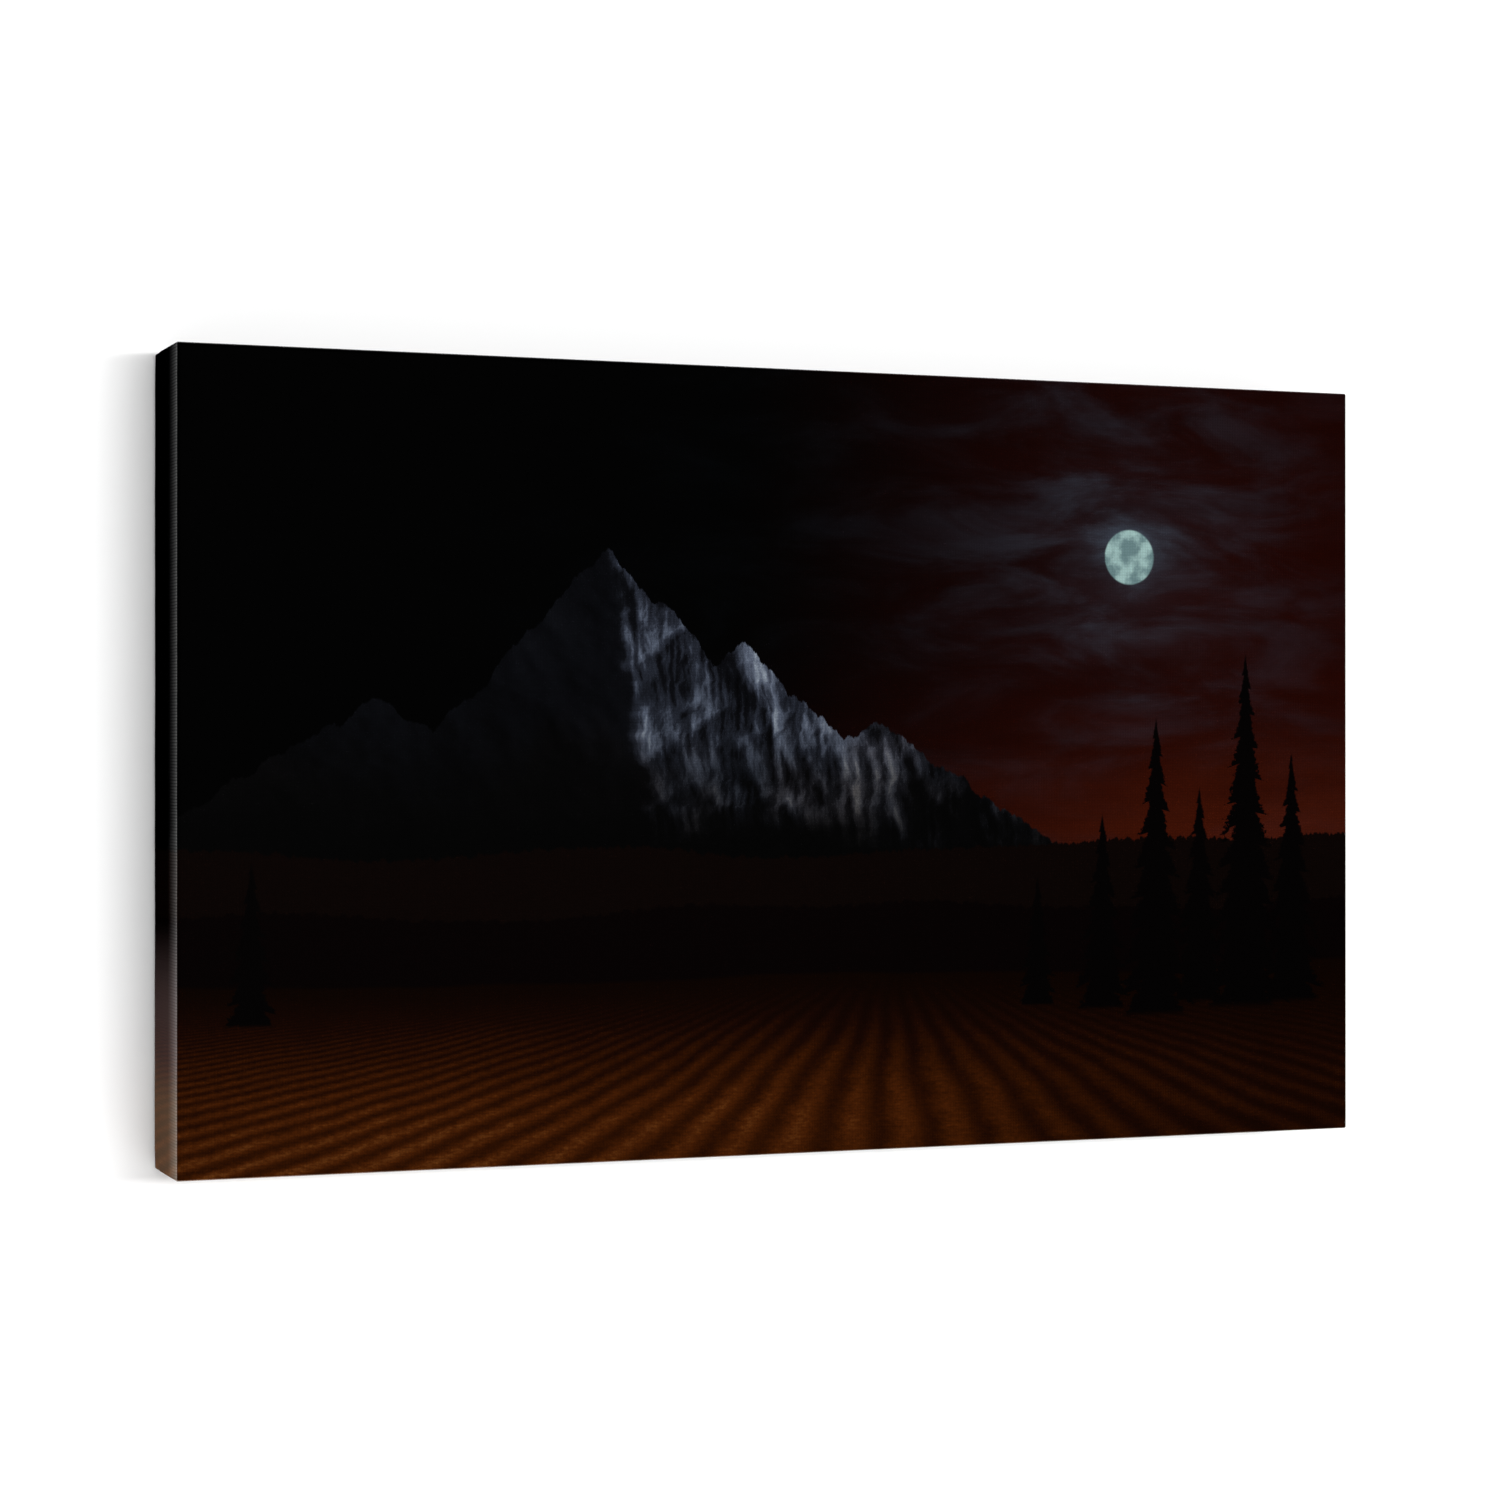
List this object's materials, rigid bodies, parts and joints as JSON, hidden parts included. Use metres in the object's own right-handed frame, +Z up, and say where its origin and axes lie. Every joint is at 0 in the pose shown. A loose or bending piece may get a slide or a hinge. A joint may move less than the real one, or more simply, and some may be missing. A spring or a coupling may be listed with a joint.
{
  "type": "stretched canvas print",
  "caption": "Rectangular picture printed on canvas and wrapped round a deep wooden stretcher frame, with a sawtooth hanger to hang it on a wall.",
  "frame": {"origin": "the seat of the wall nail: the top of the sawtooth hanger's middle notch, in the plane of the wall", "axes": "+X to the right along the picture's width, seen from the front; +Y into the wall, so the picture faces -Y; +Z up"},
  "size_m": [0.45, 0.041, 0.281],
  "materials": {
    "printed_canvas": "matte print on woven cotton canvas",
    "stretcher_pine": "planed bare pine",
    "key_wood": "sawn bare beech",
    "staple_steel": "galvanised wire",
    "zinc_strip": "zinc plated pressed strip",
    "nail_brass": "brass plated, slightly dull",
    "bumper_rubber": "soft matte rubber"
  },
  "bodies": {
    "root": {"bumper_left": "bumper_rubber", "bumper_right": "bumper_rubber", "canvas": "printed_canvas", "hanger_nail_left": "nail_brass", "hanger_nail_right": "nail_brass", "hanger_strip": "zinc_strip", "key_bottom_a": "key_wood", "key_bottom_b": "key_wood", "key_left_a": "key_wood", "key_left_b": "key_wood", "key_right_a": "key_wood", "key_right_b": "key_wood", "key_top_a": "key_wood", "key_top_b": "key_wood", "staple_bottom_01": "staple_steel", "staple_bottom_02": "staple_steel", "staple_bottom_03": "staple_steel", "staple_bottom_04": "staple_steel", "staple_bottom_05": "staple_steel", "staple_bottom_06": "staple_steel", "staple_bottom_07": "staple_steel", "staple_bottom_08": "staple_steel", "staple_bottom_09": "staple_steel", "staple_left_01": "staple_steel", "staple_left_02": "staple_steel", "staple_left_03": "staple_steel", "staple_left_04": "staple_steel", "staple_left_05": "staple_steel", "staple_left_06": "staple_steel", "staple_right_01": "staple_steel", "staple_right_02": "staple_steel", "staple_right_03": "staple_steel", "staple_right_04": "staple_steel", "staple_right_05": "staple_steel", "staple_right_06": "staple_steel", "staple_top_01": "staple_steel", "staple_top_02": "staple_steel", "staple_top_03": "staple_steel", "staple_top_04": "staple_steel", "staple_top_05": "staple_steel", "staple_top_06": "staple_steel", "staple_top_07": "staple_steel", "staple_top_08": "staple_steel", "stretcher_bottom": "stretcher_pine", "stretcher_left": "stretcher_pine", "stretcher_right": "stretcher_pine", "stretcher_top": "stretcher_pine"}
  },
  "joints": []
}
